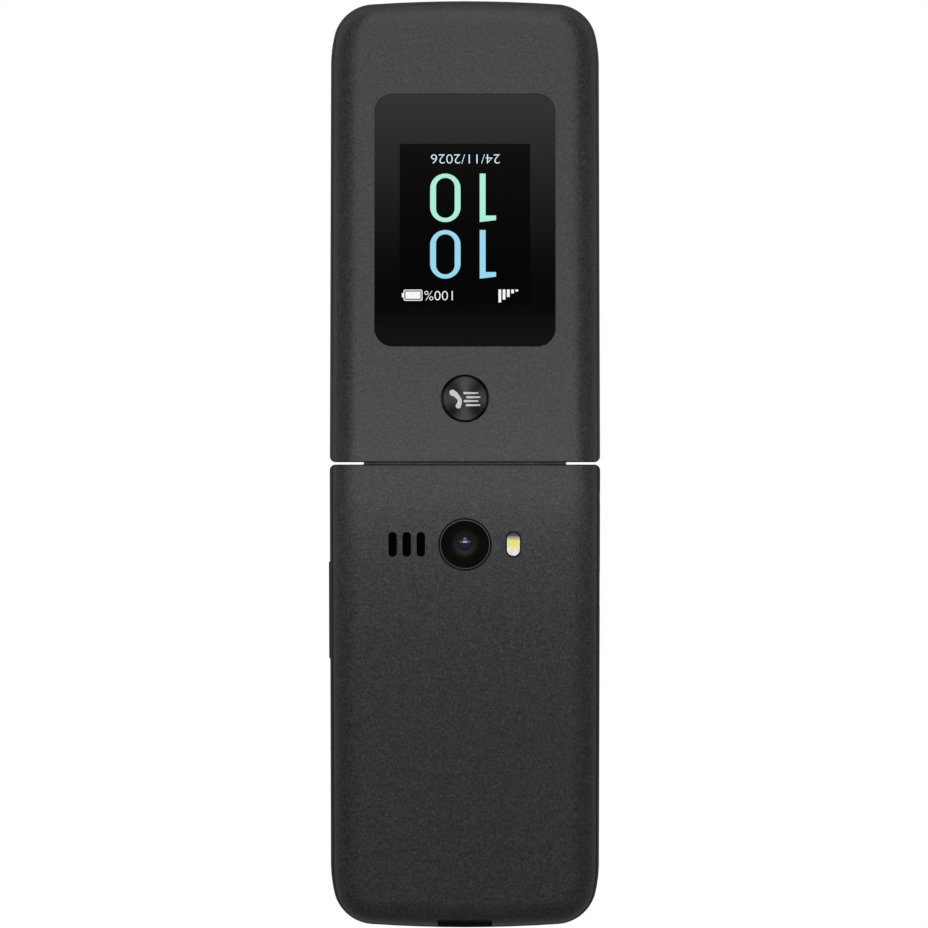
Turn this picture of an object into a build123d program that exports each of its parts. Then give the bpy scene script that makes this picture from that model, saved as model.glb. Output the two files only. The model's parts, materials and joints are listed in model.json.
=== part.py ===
from build123d import *
import math
import os

os.makedirs("parts", exist_ok=True)

# A clamshell phone lying open on its back. Millimetres, +Z up, keypad up, lid towards +Y.
# The origin is the centre of the base's plan, on the resting face of the back cover.
# Base pieces are drawn straight in this frame. Lid pieces are drawn in the lid's own frame:
# hinge axis at the origin along X, the lid running to +Y, its inner face looking to +Z.

# Both halves
body_width = 58.2
half_length = 101.6          # hinge axis to the far end
base_depth = 9.8             # back face to keypad face
lid_depth = 7.6              # outer face to inner face
parting_gap = 0.5            # between the two inner faces when shut
open_angle = 160.0
end_gap = 0.5                # between the two hinge ends when open
crown_radius = 290.0         # far end, across the middle
corner_radius = 9.0
flank_radius = 30.0          # eases the corner into the straight side
corner_reach = 9.5           # side face to the centre of the corner arc
hinge_corner_radius = 1.3
base_edge_radius = 6.5       # back face rolling into the sides
lid_edge_radius = 5.6
face_edge_radius = 0.4

# Hinge
barrel_radius = 3.5
barrel_half = 21.8           # half the length of the whole barrel
centre_half = 14.15          # half the length of the lid's knuckle
knuckle_gap = 0.15           # between neighbouring knuckles
barrel_clearance = 0.3       # around the barrel of the other half
knuckle_end_wall = 0.6
hinge_bore_radius = 2.55
sleeve_radius = 2.5
sleeve_wall = 0.5
cartridge_length = 12.5
shaft_radius = 1.6
running_fit = 0.05
shaft_engagement = 2.0
sleeve_engagement = 1.8

# Shells of the base
cover_wall = 0.9
cover_clearance = 0.15
cover_edge = 4.0             # height of the cover's rim
cover_seam = 0.12
frame_top = 7.6
housing_seam = 0.05
frame_wall = 2.0
front_wall = 1.3
plate_underside = 8.5
fit = 0.1                    # between pieces of one half

# Inside the base
board_top = 7.0
board_thickness = 0.8
bay_ceiling = 5.4
battery_depth = 4.2
battery_sides = 9.6          # side face to the battery
battery_ends = (38.5, 9.5)   # hinge axis and far end to the battery
bay_clearance = 0.3
rib_width = 1.2
rib_margin = 2.0
pocket_walls = (1.4, 2.4)    # battery bay and side wall to the hollows beside it
pocket_count = 4             # hollows on each side
dome_radius = 1.5
dome_height = 0.25

# Back of the base
camera_back = 15.9           # hinge axis to the row of camera, speaker and flash
ring_radius = 5.6
ring_width = 0.6
ring_depth = 1.35
ring_recess = 0.02
window_thickness = 0.7
window_recess = 0.3
camera_size = 8.4
lens_barrel_radius = 3.2
speaker_x = 12.5
slot_pitch = 3.03
slot_size = (1.82, 5.45)
speaker_size = (14.0, 11.0, 3.7)
mesh_size = (9.4, 7.0, 0.12)
flash_x = -10.4
flash_size = (2.95, 5.2)
flash_gap = 0.17
flash_lens_depth = 1.1
flash_led_size = (1.8, 2.2, 0.7)
notch_width = 11.75
notch_height = 1.7
notch_depth = 3.5            # far end to the bottom of the fingernail notch

# Keypad
key_gap = 0.15               # key to housing, all round
key_flange = 0.45
flange_bottom = 7.8
key_proud = 0.1              # above the keypad face
key_travel = 0.4
key_edge_radius = 0.5
key_corner_radius = 2.2
key_spacing = (1.4, 1.2)     # between neighbouring keys
number_margin = 3.4          # side face to the outer number keys
number_ends = (53.6, 16.6)   # hinge axis to the top row, far end to the bottom row
call_back = 42.8             # hinge axis to the call row
call_height = 7.4
soft_back = 18.0
soft_sides = (14.3, 3.0)     # middle line and side face to a soft key
soft_height = 8.0
nav_back = 24.5
nav_radius = 12.2
nav_hole_radius = 5.7
nav_bottom = 7.9
nav_gap = 0.3
ok_radius = 5.3
ok_bottom = 8.6
rocker_size = (21.6, 2.6, 0.25)
rocker_hub_radius = 3.0
plunger_radius = 1.2

# Side key and ports
side_key_back = 31.6
side_key_z = 7.1
side_key_size = (21.3, 2.2)
side_key_proud = 0.23
side_key_gap = 0.12
side_flange = 0.5
port_z = 6.55
port_face_depth = 1.1        # side face to the mouth of a port
usb_back = 27.0
usb_size = (5.5, 7.5, 2.55)
usb_mouth = (6.9, 1.9)
usb_depth = 4.6
jack_back = 7.1
jack_length = 14.4
jack_height = 3.7
jack_outer = 5.2
jack_bore_radius = 1.78

# Small parts in the base
can_depth = 1.2
can_lengths = (5.6, 4.0)     # along Y, near the hinge and near the far end
can_margin = 3.0             # screw or middle line to a can
can_corner = 0.5
upper_can_back = 8.0
sim_size = (15.4, 11.4, 1.3)
sim_x = -9.0
sim_back = 28.8
motor_radius = 4.0
motor_depth = 2.7
motor_x = 13.0
motor_back = 29.0
contact_pitch = 4.0
contact_size = (1.6, 2.0, 2.4)
contact_low = 2.3
microphone_end = 5.4         # far end to the microphone
microphone_size = (3.0, 2.4, 1.0)
sound_hole_radius = 0.5
upper_screws = (18.6, 6.6)   # in from the sides, back from the hinge axis
lower_screws = (9.1, 6.4)    # in from the sides, in from the far end
screw_radius = 0.8
screw_head_radius = 1.5
screw_head_depth = 0.8
screw_seat = 3.6
screw_top = 8.3
boss_wall = 1.1

# Lid
shell_step = 0.35            # the inner bezel stands proud of the outer shell
shell_edge = -3.2
lid_seam = 0.12
shell_wall = 1.0
bezel_wall = 1.2
bezel_plate = 1.2
outer_glass_size = (38.9, 55.5)
outer_glass_y = 52.0
outer_glass_radius = 3.9
outer_glass_thickness = 0.8
glass_recess = 0.05
glass_gap = 0.1
glass_ledge = 1.5
outer_display_size = (31.0, 41.0, 1.7)
outer_display_y = 51.2
window_rim = 2.0
window_rim_depth = 1.65
button_y = 12.8
button_radius = 4.9
button_gap = 0.35
button_proud = 0.05
button_guide = 0.9
button_guide_depth = 2.0
button_flange_radius = 6.0
button_flange = 0.45
button_dish_radius = 36.0
button_dish_depth = 0.3
main_glass_sides = 3.1       # side face to the main glass
main_glass_ends = (13.0, 11.0)   # hinge axis and far end to the main glass
main_glass_radius = 4.0
main_glass_thickness = 0.8
main_recess = 0.1
main_display_depth = 1.8
main_display_rim = (0.8, 4.0)    # main glass edge to the display
lid_board_sides = 7.1
lid_board_ends = (10.0, 16.0)    # hinge axis and far end to the board
lid_board_thickness = 0.6
board_below_display = 0.3
switch_size = (3.0, 3.0, 0.7)
earpiece_end = 6.4           # far end to the earpiece
earpiece_size = (12.0, 5.6, 2.4)
earpiece_slot = (11.0, 1.5)
bumper_inset = (9.6, 6.8)    # in from the sides and from the far end
bumper_radius = 1.4
bumper_seat = 0.5
bumper_proud = 0.15
hinge_screw_inset = (4.7, 7.0)   # in from the sides, out from the hinge axis
tip_screw_inset = (5.1, 7.4)     # in from the sides and from the far end
lid_screw_radius = 0.6
lid_screw_head_radius = 1.0
lid_screw_head_depth = 0.5
lid_screw_length = 4.0
magnet_size = (5.0, 3.0, 1.2)
magnet_x = 12.5
magnet_end = 6.0
flex_width = 8.0
flex_x = -8.0
flex_thickness = 0.15
flex_coil_radius = 1.75

# Worked out from the sizes above
half_width = body_width / 2
hinge_y = half_length / 2
hinge_z = base_depth + parting_gap / 2
lid_tilt = 180.0 - open_angle
end_draft = lid_tilt / 2
key_top = base_depth + key_proud
flange_top = plate_underside - fit / 2
board_bottom = board_top - board_thickness
lid_face = -parting_gap / 2
lid_back = lid_face - lid_depth
plate_back = lid_face - bezel_plate
far = 4 * half_length        # longer than any piece

camera_y = hinge_y - camera_back
nav_y = hinge_y - nav_back
side_key_y = hinge_y - side_key_back
usb_y = hinge_y - usb_back
jack_y = hinge_y - jack_back
microphone_y = microphone_end - hinge_y
sim_place = (sim_x, hinge_y - sim_back)
motor_place = (motor_x, hinge_y - motor_back)
battery_low = battery_ends[1] - hinge_y
battery_high = hinge_y - battery_ends[0]
battery_size = (body_width - 2 * battery_sides, battery_high - battery_low, battery_depth)
battery_y = (battery_low + battery_high) / 2
upper_screw_x = half_width - upper_screws[0]
lower_screw_x = half_width - lower_screws[0]
screw_places = [(side * upper_screw_x, hinge_y - upper_screws[1]) for side in (1, -1)]
screw_places += [(side * lower_screw_x, lower_screws[1] - hinge_y) for side in (1, -1)]

number_top_y = hinge_y - number_ends[0]
number_low_y = number_ends[1] - hinge_y
number_width = (body_width - 2 * number_margin - 2 * key_spacing[0]) / 3
number_pitch = (number_width + key_spacing[0], (number_top_y - number_low_y) / 3)
number_size = (number_width, number_pitch[1] - key_spacing[1])
call_row_y = hinge_y - call_back
call_size = (number_width, call_height)
soft_size = (half_width - soft_sides[0] - soft_sides[1], soft_height)
soft_key_x = soft_sides[0] + soft_size[0] / 2
soft_key_y = hinge_y - soft_back

main_glass_size = (body_width - 2 * main_glass_sides, half_length - sum(main_glass_ends))
main_glass_y = main_glass_ends[0] + main_glass_size[1] / 2
main_display_size = (main_glass_size[0] - 2 * main_display_rim[0],
                     main_glass_size[1] - 2 * main_display_rim[1], main_display_depth)
lid_board_size = (body_width - 2 * lid_board_sides, half_length - sum(lid_board_ends),
                  lid_board_thickness)
lid_board_y = lid_board_ends[0] + lid_board_size[1] / 2
earpiece_y = half_length - earpiece_end
magnet_place = (magnet_x, half_length - magnet_end)
bumper_places = [(side * (half_width - bumper_inset[0]), half_length - bumper_inset[1])
                 for side in (1, -1)]
lid_screw_places = [(side * (half_width - hinge_screw_inset[0]), hinge_screw_inset[1])
                    for side in (1, -1)]
lid_screw_places += [(side * (half_width - tip_screw_inset[0]), half_length - tip_screw_inset[1])
                     for side in (1, -1)]


def save(shape, node):
    export_step(shape, f"parts/{node}.step")


def centred_box(size, centre):
    return Pos(*centre) * Box(*size)


def edges_at(shape, axis, height):
    return shape.edges().filter_by_position(axis, height - fit / 10, height + fit / 10)


def slab(low, high):
    return Pos(0, 0, (low + high) / 2) * Box(far, far, high - low)


def span_box(x, y, z):
    # A box from three (low, high) pairs.
    centre = [(low + high) / 2 for low, high in (x, y, z)]
    return Pos(*centre) * Box(*[high - low for low, high in (x, y, z)])


def post(radius, low, high, place=(0, 0)):
    return Pos(place[0], place[1], (low + high) / 2) * Cylinder(radius, high - low)


def rod(radius, x_low, x_high):
    # A cylinder on the X axis.
    return Pos((x_low + x_high) / 2, 0, 0) * Rot(0, 90, 0) * Cylinder(radius, x_high - x_low)


def rounded_plate(size, radius, low, high, place=(0, 0)):
    return Pos(place[0], place[1], low) * extrude(RectangleRounded(*size, radius), high - low)


def at_hinge(shape):
    return Pos(0, hinge_y, hinge_z) * shape


def on_lid(shape):
    # From the lid's own frame to its place on the open phone.
    return Location((0, hinge_y, hinge_z), (lid_tilt, 0, 0)) * shape


def arc_about(centre, radius, start, end):
    # Angles in degrees, from +Y towards +X.
    def point(angle):
        turn = math.radians(angle)
        return centre[0] + radius * math.sin(turn), centre[1] + radius * math.cos(turn)
    return ThreePointArc(point(start), point((start + end) / 2), point(end))


def half_outline(inset):
    # Straight sides, a corner of three tangent arcs each side, and a crowned far end.
    reach = half_width - corner_reach
    crown_angle = math.degrees(math.asin(reach / (crown_radius - corner_radius)))
    flank_sine = (flank_radius - corner_reach) / (flank_radius - corner_radius)
    flank_angle = math.degrees(math.asin(flank_sine))
    crown = (0, half_length - crown_radius)
    corner_lift = (crown_radius - corner_radius) * math.cos(math.radians(crown_angle))
    corner = (reach, crown[1] + corner_lift)
    flank_drop = (flank_radius - corner_radius) * math.cos(math.radians(flank_angle))
    flank = (half_width - flank_radius, corner[1] - flank_drop)
    side = half_width - inset
    start = -hinge_z
    right = [
        Line((side, start), (side, flank[1])),
        arc_about(flank, flank_radius - inset, 90, flank_angle),
        arc_about(corner, corner_radius - inset, flank_angle, crown_angle),
    ]
    top = arc_about(crown, crown_radius - inset, crown_angle, -crown_angle)
    left = [edge.mirror(Plane.YZ) for edge in right]
    foot = Line((side, start), (-side, start))
    return make_face(right + [top] + left + [foot])


def half_block(depth, edge_radius, inset=0.0, step=0.0, face_radius=0.0):
    # One half as a solid in its own frame, its skin moved in by inset and its sides by step more.
    low = lid_face - depth + inset
    block = extrude(Pos(0, 0, low) * half_outline(inset + step), lid_face - low)
    far_side = -hinge_z + fit

    def rim(height):
        edges = edges_at(block, Axis.Z, height)
        return [edge for edge in edges if edge.center().Y > far_side]
    block = fillet(rim(low), edge_radius - inset)
    if face_radius:
        block = fillet(rim(lid_face), face_radius)
    # The hinge end is drafted so that both ends lie parallel when the phone is open.
    end = end_gap / 2 + inset
    corner = max(hinge_corner_radius - inset, fit)
    side = half_width - inset - step
    plan = Pos(0, end + half_length) * RectangleRounded(2 * side, 2 * half_length, corner)
    prism = Rot(-end_draft, 0, 0) * extrude(Pos(0, 0, -far / 2) * plan, far)
    return block & prism


def base_skin(inset=0.0, face_radius=0.0):
    half = half_block(base_depth, base_edge_radius, inset, 0.0, face_radius)
    return Location((0, hinge_y, hinge_z), (0, 0, 180)) * half


def lid_skin(inset=0.0, step=0.0, face_radius=0.0):
    return half_block(lid_depth, lid_edge_radius, inset, step, face_radius)


def outer_knuckles(radius, gap=0.0):
    # The base's two knuckles about the X axis, or the room for them.
    inner = centre_half + knuckle_gap / 2 - gap
    outer = barrel_half + gap
    return rod(radius, inner, outer) + rod(radius, -outer, -inner)


def centre_knuckle(radius, gap=0.0):
    return rod(radius, -centre_half + knuckle_gap / 2 - gap, centre_half - knuckle_gap / 2 + gap)


def key_places():
    # Name, centre and size of every key whose outline is a rounded rectangle.
    names = ("1", "2", "3", "4", "5", "6", "7", "8", "9", "star", "0", "hash")
    keys = []
    for index, name in enumerate(names):
        row, column = divmod(index, 3)
        centre = ((column - 1) * number_pitch[0], number_top_y - row * number_pitch[1])
        keys.append((f"key_{name}", centre, number_size))
    for column, name in ((-1, "call_key"), (0, "clear_key"), (1, "end_key")):
        keys.append((name, (column * number_pitch[0], call_row_y), call_size))
    keys.append(("soft_key_left", (-soft_key_x, soft_key_y), soft_size))
    keys.append(("soft_key_right", (soft_key_x, soft_key_y), soft_size))
    return keys


def side_key_block(grow, x_low, x_high):
    size = (side_key_size[0] + 2 * grow, side_key_size[1] + 2 * grow)
    face = RectangleRounded(size[1], size[0], size[1] / 2 - fit)
    bar = extrude(face, x_high - x_low)
    return Pos(x_low, side_key_y, side_key_z) * Rot(0, 90, 0) * bar


def usb_block(grow, x_low, x_high):
    width, height = usb_size[1] + 2 * grow, usb_size[2] + 2 * grow
    bar = extrude(RectangleRounded(height, width, height / 4), x_high - x_low)
    return Pos(x_low, usb_y, port_z) * Rot(0, 90, 0) * bar


def jack_rod(radius, x_low, x_high):
    return Pos(0, jack_y, port_z) * rod(radius, x_low, x_high)


def side_openings():
    # Side key on +X, charging port and audio jack on -X.
    wall = 2 * frame_wall
    cut = side_key_block(side_key_gap, half_width - wall, half_width + 1)
    cut += usb_block(2 * fit, -half_width - 1, -half_width + wall)
    return cut + jack_rod(jack_bore_radius + fit, -half_width - 1, -half_width + port_face_depth)


def slot_centres():
    return [(speaker_x + step * slot_pitch, camera_y) for step in (-1, 0, 1)]


def back_cover():
    cover = (base_skin() - base_skin(cover_wall)) & slab(-1, cover_edge)
    cover -= post(ring_radius + running_fit, -1, cover_wall + 1, (0, camera_y))
    for place in slot_centres():
        cover -= rounded_plate(slot_size, slot_size[0] / 2 - running_fit, -1, cover_wall + 1, place)
    hole = [side + 2 * flash_gap for side in flash_size]
    cover -= rounded_plate(hole, hole[0] / 2 - running_fit, -1, cover_wall + 1, (flash_x, camera_y))
    return cover - nail_notch(cover_edge + 1)


def nail_notch(top):
    # The hollow in the far end, where a fingernail lifts the cover.
    deep = (-hinge_y - 1, notch_depth - hinge_y)
    return span_box((-notch_width / 2, notch_width / 2), deep, (notch_height, top))


def rear_frame():
    inner = cover_wall + cover_clearance
    band = base_skin() & slab(cover_edge + cover_seam, frame_top)
    tub = base_skin(inner) & slab(0, cover_edge + cover_seam + fit)
    frame = band + tub
    frame -= base_skin(frame_wall) & slab(board_bottom - fit, frame_top + 1)
    bay = (battery_size[0] + 2 * bay_clearance, battery_size[1] + 2 * bay_clearance)
    bay_top = battery_y + bay[1] / 2
    frame -= centred_box((*bay, 2 * bay_ceiling), (0, battery_y, 0))
    reach = 2 * contact_pitch + contact_size[0] + 2 * bay_clearance
    pocket = (contact_low - fit, contact_low + contact_size[2] + fit)
    frame -= span_box((-reach / 2, reach / 2), (bay_top - 1, bay_top + contact_size[1]), pocket)
    frame -= nail_notch(cover_edge)
    sim = [side + 2 * bay_clearance for side in sim_size[:2]]
    frame -= centred_box((*sim, 2 * bay_ceiling), (*sim_place, 0))
    frame -= post(motor_radius + fit, 0, bay_ceiling, motor_place)
    speaker = [side + 2 * fit for side in speaker_size[:2]]
    frame -= centred_box((*speaker, 2 * bay_ceiling), (speaker_x, camera_y, 0))
    camera = max(camera_size + 4 * fit, 2 * ring_radius + 4 * fit)
    frame -= centred_box((camera, camera, 2 * frame_top), (0, camera_y, 0))
    seat = inner + flash_led_size[2] + 2 * fit
    flash = [side + 4 * fit for side in flash_size]
    frame -= centred_box((*flash, 2 * seat), (flash_x, camera_y, 0))
    for place in screw_places:
        frame -= post(screw_head_radius + fit, 0, screw_seat, place)
        frame -= post(screw_radius + fit, 0, frame_top, place)
    frame -= side_pockets()
    frame -= side_openings() + port_pockets()
    frame -= side_key_block(side_flange + fit, half_width - 2 * frame_wall, half_width - front_wall)
    frame -= at_hinge(outer_knuckles(barrel_radius + fit, fit))
    return frame - at_hinge(centre_knuckle(barrel_radius + barrel_clearance, fit))


def side_pockets():
    # Hollows that keep the frame's walls even, beside the battery bay.
    inner = battery_size[0] / 2 + bay_clearance + pocket_walls[0]
    outer = half_width - cover_wall - cover_clearance - pocket_walls[1]
    start = battery_low + rib_margin
    pitch = (battery_size[1] - 2 * rib_margin) / pocket_count
    hollows = []
    for index in range(pocket_count):
        edge = start + index * pitch + rib_width / 2
        y = (edge, edge + pitch - rib_width)
        hollows.append(span_box((inner, outer), y, (0, bay_ceiling)))
        hollows.append(span_box((-outer, -inner), y, (0, bay_ceiling)))
    return hollows[0].fuse(*hollows[1:])


def port_pockets():
    # Room for the bodies of the two ports inside the frame and the board.
    mouth = -half_width + port_face_depth
    usb_room = [side + 4 * fit for side in usb_size]
    usb_x = mouth + usb_size[0] / 2
    rooms = centred_box(usb_room, (usb_x, usb_y, port_z))
    jack_room = (jack_length + 4 * fit, jack_outer + 2 * fit, jack_height + fit)
    jack_x = mouth + jack_length / 2
    return rooms + centred_box(jack_room, (jack_x, jack_y, port_z))


def front_housing():
    low = frame_top + housing_seam
    housing = base_skin(0, face_edge_radius) & slab(low, base_depth + 1)
    housing -= base_skin(front_wall) & slab(0, plate_underside)
    for name, centre, size in key_places():
        opening = [side + 2 * key_gap for side in size]
        corner = key_corner_radius + key_gap
        housing -= rounded_plate(opening, corner, board_top, base_depth + 1, centre)
    housing -= post(nav_radius + nav_gap, board_top, base_depth + 1, (0, nav_y))
    housing -= post(sound_hole_radius, board_top, base_depth + 1, (0, microphone_y))
    bores = []
    for place in screw_places:
        boss = post(screw_radius + boss_wall, board_top + fit, plate_underside, place)
        housing += boss & base_skin(fit)
        bores.append(post(screw_radius, board_top, screw_top + fit, place))
    for bore in bores:
        housing -= bore
    housing -= side_openings() + port_pockets()
    flange_room = side_key_block(side_flange + fit, half_width - 2 * frame_wall,
                                 half_width - front_wall)
    housing -= flange_room
    housing += at_hinge(outer_knuckles(barrel_radius))
    housing -= at_hinge(centre_knuckle(barrel_radius + barrel_clearance, knuckle_gap))
    end = barrel_half - knuckle_end_wall
    housing -= at_hinge(rod(shaft_radius, 0, end))
    return housing - at_hinge(rod(sleeve_radius, -end, 0))


def main_board():
    board = base_skin(frame_wall + 2 * fit) & slab(board_bottom, board_top)
    board -= at_hinge(rod(barrel_radius + 2 * barrel_clearance, -half_width, half_width))
    for place in screw_places:
        board -= post(screw_radius + 2 * fit, 0, base_depth, place)
    edge = side_key_block(side_flange + 2 * fit, half_width - 2 * frame_wall, half_width)
    return board - port_pockets() - edge


def key_domes():
    centres = [centre for name, centre, size in key_places()]
    centres.append((0, nav_y))
    reach = (nav_radius + nav_hole_radius) / 2
    for x, y in ((1, 0), (-1, 0), (0, 1), (0, -1)):
        centres.append((x * reach, nav_y + y * reach))
    return Compound([post(dome_radius, board_top, board_top + dome_height, c) for c in centres])


def shield_cans():
    top = board_top + can_depth
    size = (2 * upper_screw_x - 2 * can_margin, can_lengths[0])
    place = (0, hinge_y - upper_can_back)
    upper = rounded_plate(size, can_corner, board_top, top, place)
    size = (lower_screw_x - 3 * boss_wall - can_margin, can_lengths[1])
    place = (size[0] / 2 + can_margin, microphone_y + 1)
    return Compound([upper, rounded_plate(size, can_corner, board_top, top, place)])


def battery():
    size = battery_size
    low = cover_wall + 2 * fit
    return rounded_plate(size[:2], 2.0, low, low + size[2], (0, battery_y))


def battery_contacts():
    start = battery_y + battery_size[1] / 2 + fit
    blades = []
    for step in (-1, 0, 1):
        x = step * contact_pitch
        wide = (x - contact_size[0] / 2, x + contact_size[0] / 2)
        deep = (start, start + contact_size[1])
        blades.append(span_box(wide, deep, (contact_low, contact_low + contact_size[2])))
    return Compound(blades)


def sim_holder():
    tray = centred_box(sim_size, (*sim_place, bay_ceiling - sim_size[2] / 2))
    slot = (sim_size[0] - 1.6, sim_size[1] - 1.2, sim_size[2] - 0.5)
    mouth = (sim_place[0], sim_place[1] - 0.7, bay_ceiling - sim_size[2] + slot[2] / 2 - fit)
    return tray - centred_box(slot, mouth)


def camera_ring():
    ring = post(ring_radius, ring_recess, ring_depth, (0, camera_y))
    ring -= post(ring_radius - ring_width, -1, ring_depth + 1, (0, camera_y))
    lip = edges_at(ring, Axis.Z, ring_recess)
    return chamfer(lip, ring_width / 4)


def camera_window():
    radius = ring_radius - ring_width - running_fit / 2
    return post(radius, window_recess, window_recess + window_thickness, (0, camera_y))


def rear_camera():
    back = window_recess + window_thickness + fit
    body = centred_box((camera_size, camera_size, board_bottom - back - 1), (0, camera_y, 0))
    body = Pos(0, 0, (board_bottom + back + 1) / 2) * body
    barrel = post(lens_barrel_radius, back, back + 1.2, (0, camera_y))
    well = post(lens_barrel_radius - 0.8, back - 1, back + 0.5, (0, camera_y))
    return body + barrel - well


def flash_lens():
    top = ring_recess + flash_lens_depth
    corner = flash_size[0] / 2 - running_fit
    return rounded_plate(flash_size, corner, ring_recess * 4, top, (flash_x, camera_y))


def flash_led():
    seat = cover_wall + cover_clearance + flash_led_size[2] + 2 * fit
    return centred_box(flash_led_size, (flash_x, camera_y, seat - flash_led_size[2] / 2))


def speaker_mesh():
    low = cover_wall
    return centred_box(mesh_size, (speaker_x, camera_y, low + mesh_size[2] / 2))


def loudspeaker():
    low = bay_ceiling - speaker_size[2]
    box = rounded_plate(speaker_size[:2], 1.5, low, bay_ceiling, (speaker_x, camera_y))
    top = edges_at(box, Axis.Z, low)
    return chamfer(top, 0.4)


def usb_port():
    mouth = -half_width + port_face_depth
    body = usb_block(0, mouth, mouth + usb_size[0])
    cavity = (usb_depth + 1, *usb_mouth)
    body -= centred_box(cavity, (mouth + usb_depth / 2 - 0.5, usb_y, port_z))
    tongue = (usb_depth, usb_mouth[0] * 0.7, usb_mouth[1] * 0.3)
    return body + centred_box(tongue, (mouth + usb_depth / 2 + 0.4, usb_y, port_z + 0.3))


def audio_jack():
    mouth = -half_width + port_face_depth
    size = (jack_length, jack_outer, jack_height)
    body = centred_box(size, (mouth + jack_length / 2, jack_y, port_z))
    return body - jack_rod(jack_bore_radius, mouth - 1, mouth + jack_length - 1)


def microphone():
    half = microphone_size[2] / 2
    return centred_box(microphone_size, (0, microphone_y, board_top + half))


def vibration_motor():
    return post(motor_radius, bay_ceiling - motor_depth, bay_ceiling, motor_place)


def screw(radius, head_radius, head_depth, low, seat, high, place, flip=False):
    # Head below its seat and shank above it, or the other way up, with a cross recess.
    head = post(head_radius, low, seat, place)
    shank = post(radius, seat - fit, high, place) if not flip else post(radius, high, low, place)
    face = low if not flip else seat
    slots = Box(head_radius, 0.3, head_depth) + Box(0.3, head_radius, head_depth)
    return head + shank - Pos(place[0], place[1], face) * slots


def housing_screws():
    return Compound([
        screw(screw_radius, screw_head_radius, screw_head_depth,
              screw_seat - screw_head_depth, screw_seat, screw_top, place)
        for place in screw_places])


def hinge_sleeve():
    outer = -barrel_half + knuckle_end_wall
    inner = -centre_half + sleeve_engagement
    bore = sleeve_radius - sleeve_wall
    return at_hinge(rod(sleeve_radius, outer, inner) - rod(bore, outer - 1, inner + 1))


def hinge_shaft():
    outer = barrel_half - knuckle_end_wall
    return at_hinge(rod(shaft_radius, centre_half - shaft_engagement + fit, outer))


def key(centre, size):
    cap = rounded_plate(size, key_corner_radius, flange_bottom, key_top, centre)
    rim = edges_at(cap, Axis.Z, key_top)
    cap = fillet(rim, key_edge_radius)
    wide = [side + 2 * key_flange for side in size]
    corner = key_corner_radius + key_flange
    return cap + rounded_plate(wide, corner, flange_bottom, flange_top, centre)


def nav_ring():
    ring = post(nav_radius, nav_bottom, key_top, (0, nav_y))
    ring -= post(nav_hole_radius, nav_bottom - 1, key_top + 1, (0, nav_y))
    rims = edges_at(ring, Axis.Z, key_top)
    return fillet(rims, key_edge_radius)


def nav_rocker():
    # The bar under the ring: the ring tilts on it one way, and it tilts the other way.
    top = nav_bottom - running_fit
    low = top - rocker_size[2]
    bar = rounded_plate(rocker_size[:2], 1.0, low, top, (0, nav_y))
    bar += post(rocker_hub_radius, low, top, (0, nav_y))
    return bar - post(plunger_radius + nav_gap, low - 1, top + 1, (0, nav_y))


def ok_key():
    cap = post(ok_radius, ok_bottom, key_top, (0, nav_y))
    rim = edges_at(cap, Axis.Z, key_top)
    cap = fillet(rim, key_edge_radius)
    low = board_top + dome_height + key_travel + running_fit
    return cap + post(plunger_radius, low, ok_bottom + fit, (0, nav_y))


def volume_key():
    outer = half_width + side_key_proud
    bar = side_key_block(0, half_width - front_wall - fit, outer)
    rim = edges_at(bar, Axis.X, outer)
    bar = fillet(rim, side_key_proud)
    low = half_width - front_wall - 0.7
    return bar + side_key_block(side_flange, low, half_width - front_wall - running_fit)


def lid_window_cuts():
    # Room for the outer glass, and the opening behind it.
    pocket = [side + 2 * glass_gap for side in outer_glass_size]
    opening = [side - 2 * glass_ledge for side in outer_glass_size]
    place = (0, outer_glass_y)
    seat = lid_back + glass_recess + outer_glass_thickness
    cut = rounded_plate(pocket, outer_glass_radius + glass_gap, lid_back - 1, seat, place)
    corner = outer_glass_radius - glass_ledge
    return cut + rounded_plate(opening, corner, lid_back - 1, shell_edge, place)


def lid_shell():
    outer = lid_skin(0, shell_step) & slab(lid_back - 1, shell_edge)
    shell = outer - lid_skin(shell_wall, shell_step)
    rim = [side + 2 * window_rim for side in outer_glass_size]
    corner = outer_glass_radius + window_rim
    floor = lid_back + window_rim_depth
    shell += rounded_plate(rim, corner, lid_back + fit, floor, (0, outer_glass_y))
    hole = button_radius + button_gap
    guide = lid_back + button_guide_depth
    shell += post(hole + button_guide, lid_back + fit, guide, (0, button_y))
    for place in lid_screw_places:
        pillar = post(lid_screw_radius + boss_wall, lid_back + fit, shell_edge, place)
        shell += pillar & outer
    for place in lid_screw_places:
        shell -= post(lid_screw_radius, lid_back + shell_wall + fit, shell_edge + 1, place)
    shell -= lid_window_cuts()
    shell -= post(hole, lid_back - 1, shell_edge, (0, button_y))
    shell -= outer_knuckles(barrel_radius + barrel_clearance, knuckle_gap)
    return shell - centre_knuckle(barrel_radius + fit, fit)


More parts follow.
